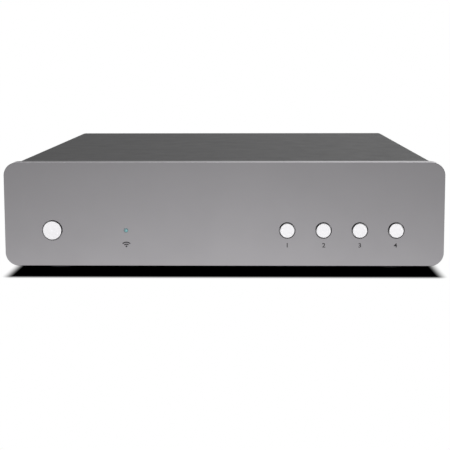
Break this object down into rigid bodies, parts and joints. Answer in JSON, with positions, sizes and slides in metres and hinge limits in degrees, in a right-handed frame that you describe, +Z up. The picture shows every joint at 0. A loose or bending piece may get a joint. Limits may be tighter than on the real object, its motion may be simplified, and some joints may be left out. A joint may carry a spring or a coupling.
{
  "type": "network music streamer",
  "caption": "Compact low box with a thick satin aluminium front, round push buttons, a status light and rear sockets, for playing networked music.",
  "frame": {"origin": "on the surface the feet stand on, under the middle of the whole object's box", "axes": "+X to the right seen from the front, +Y from the front panel to the rear sockets, +Z up"},
  "size_m": [0.215, 0.191, 0.0563],
  "materials": {
    "fascia": "fine bead-blasted, anodised grey",
    "button_metal": "satin, bevelled edge",
    "cover_paint": "fine satin powder coat, dark grey",
    "rear_paint": "fine satin powder coat, dark grey",
    "tray_steel": "zinc-plated sheet",
    "screw_black": "black oxide",
    "screw_steel": "zinc plated",
    "foot_rubber": "matt moulded",
    "switch_black": "moulded",
    "plunger_white": "moulded",
    "board_green": "solder mask",
    "connector_cream": "moulded",
    "chip_black": "moulded",
    "ribbon_grey": "flat cable",
    "lead_grey": "sleeved lead",
    "light_clear": "clear, lit teal",
    "led_white": "clear lens",
    "plated_steel": "bright tin plate",
    "gold_plate": "gold plated",
    "socket_black": "moulded",
    "insert_white": "moulded",
    "insert_red": "moulded",
    "insert_orange": "moulded",
    "tongue_blue": "moulded",
    "emitter_red": "clear",
    "can_black": "shrunk sleeve",
    "shield_tin": "tinned",
    "sink_black": "black anodised",
    "core_ferrite": "sintered",
    "winding_tape": "taped",
    "fuse_glass": "glass and plated caps"
  },
  "bodies": {
    "case": {"front_panel": "fascia", "panel_screws": "screw_steel", "chassis_tray": "tray_steel", "top_cover": "cover_paint", "rear_panel": "rear_paint", "case_screws": "screw_black", "rubber_feet": "foot_rubber", "foot_screws": "screw_black", "tact_switches": "switch_black", "control_board": "board_green", "status_light_pipe": "light_clear", "status_led": "led_white", "control_ribbon": "ribbon_grey", "board_connectors": "connector_cream", "power_harness": "ribbon_grey", "main_board": "board_green", "power_board": "board_green", "board_standoffs": "screw_steel", "board_screws": "screw_steel", "streaming_board": "board_green", "stacking_connectors": "socket_black", "processor_shield": "shield_tin", "processor_heat_sink": "sink_black", "wireless_module": "shield_tin", "audio_chips": "chip_black", "audio_capacitors": "can_black", "muting_relay": "chip_black", "network_socket": "plated_steel", "network_contacts": "gold_plate", "media_socket": "plated_steel", "media_tongue": "tongue_blue", "optical_socket": "socket_black", "optical_emitter": "emitter_red", "phono_housings": "socket_black", "digital_socket_insert": "insert_orange", "right_socket_insert": "insert_red", "left_socket_insert": "insert_white", "phono_sleeves": "gold_plate", "aerial_sockets": "gold_plate", "aerial_nuts": "gold_plate", "aerial_leads": "lead_grey", "mains_inlet": "socket_black", "mains_pins": "plated_steel", "transformer_core": "core_ferrite", "transformer_winding": "winding_tape", "supply_capacitors": "can_black", "mains_choke": "core_ferrite", "mains_fuse": "fuse_glass"},
    "power_button": {"power_button": "button_metal", "power_switch_plunger": "plunger_white"},
    "preset_button_1": {"preset_button_1": "button_metal", "preset_switch_plunger_1": "plunger_white"},
    "preset_button_2": {"preset_button_2": "button_metal", "preset_switch_plunger_2": "plunger_white"},
    "preset_button_3": {"preset_button_3": "button_metal", "preset_switch_plunger_3": "plunger_white"},
    "preset_button_4": {"preset_button_4": "button_metal", "preset_switch_plunger_4": "plunger_white"},
    "optical_shutter": {"optical_shutter": "socket_black"}
  },
  "joints": [
    {"name": "power_button_press", "type": "slide", "parent": "case", "child": "power_button", "axis": [0, 1, 0], "range_m": [0, 0.0006], "stiffness_N_per_m": 1500},
    {"name": "preset_button_1_press", "type": "slide", "parent": "case", "child": "preset_button_1", "axis": [0, 1, 0], "range_m": [0, 0.0006], "stiffness_N_per_m": 1500},
    {"name": "preset_button_2_press", "type": "slide", "parent": "case", "child": "preset_button_2", "axis": [0, 1, 0], "range_m": [0, 0.0006], "stiffness_N_per_m": 1500},
    {"name": "preset_button_3_press", "type": "slide", "parent": "case", "child": "preset_button_3", "axis": [0, 1, 0], "range_m": [0, 0.0006], "stiffness_N_per_m": 1500},
    {"name": "preset_button_4_press", "type": "slide", "parent": "case", "child": "preset_button_4", "axis": [0, 1, 0], "range_m": [0, 0.0006], "stiffness_N_per_m": 1500},
    {"name": "optical_shutter_swing", "type": "hinge", "parent": "case", "child": "optical_shutter", "pos_m": [0.01916, 0.0861, 0.0228], "axis": [-1, 0, 0], "range_deg": [0, 85], "stiffness_Nm_per_rad": 0.001, "springref_deg": -11.46}
  ]
}
